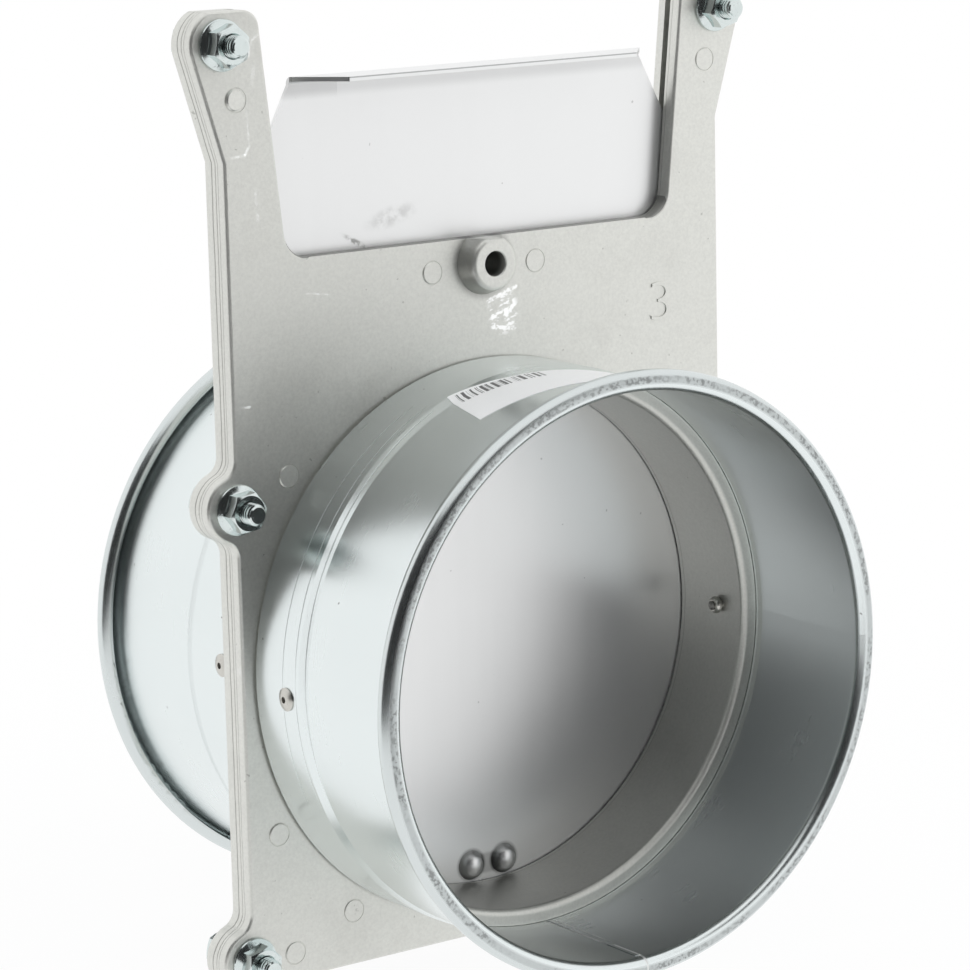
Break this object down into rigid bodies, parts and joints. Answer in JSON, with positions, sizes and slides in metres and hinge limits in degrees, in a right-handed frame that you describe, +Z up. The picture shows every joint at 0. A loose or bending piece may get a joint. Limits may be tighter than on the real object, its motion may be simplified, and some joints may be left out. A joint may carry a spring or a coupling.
{
  "type": "duct blast gate",
  "caption": "Sliding blast gate for a round extraction duct: a thin steel blade between two cast plates, with a riveted collar on each side.",
  "frame": {"origin": "on the duct axis, at the lip end of the front collar's straight bore wall", "axes": "+X to the right seen from the front, +Y along the duct from the front mouth to the rear one, +Z up, the way the blade slides open"},
  "size_m": [0.184, 0.1459, 0.2669],
  "materials": {
    "casting": "bare die casting, matte warm grey with a fine grain",
    "galvanised_sheet": "galvanised sheet, semi-gloss, cool grey",
    "blade_sheet": "smooth galvanised sheet, satin, with faint rub marks",
    "plated_steel": "bright zinc plating, glossy",
    "rivet_metal": "plain blind rivet, satin",
    "rivet_pin": "broken steel pin, dull grey"
  },
  "bodies": {
    "housing": {"front_plate": "casting", "rear_plate": "casting", "front_collar": "galvanised_sheet", "rear_collar": "galvanised_sheet", "screw_top_left": "plated_steel", "screw_top_right": "plated_steel", "screw_mid_left": "plated_steel", "screw_mid_right": "plated_steel", "screw_low_left": "plated_steel", "screw_low_right": "plated_steel", "nut_top_left": "plated_steel", "nut_top_right": "plated_steel", "nut_mid_left": "plated_steel", "nut_mid_right": "plated_steel", "nut_low_left": "plated_steel", "nut_low_right": "plated_steel", "front_rivet_left": "rivet_metal", "front_rivet_right": "rivet_metal", "rear_rivet_left": "rivet_metal", "rear_rivet_right": "rivet_metal", "front_rivet_pin_left": "rivet_pin", "front_rivet_pin_right": "rivet_pin", "rear_rivet_pin_left": "rivet_pin", "rear_rivet_pin_right": "rivet_pin"},
    "blade": {"blade": "blade_sheet"}
  },
  "joints": [
    {"name": "blade_slide", "type": "slide", "parent": "housing", "child": "blade", "axis": [0, 0, 1], "range_m": [0, 0.134]}
  ]
}
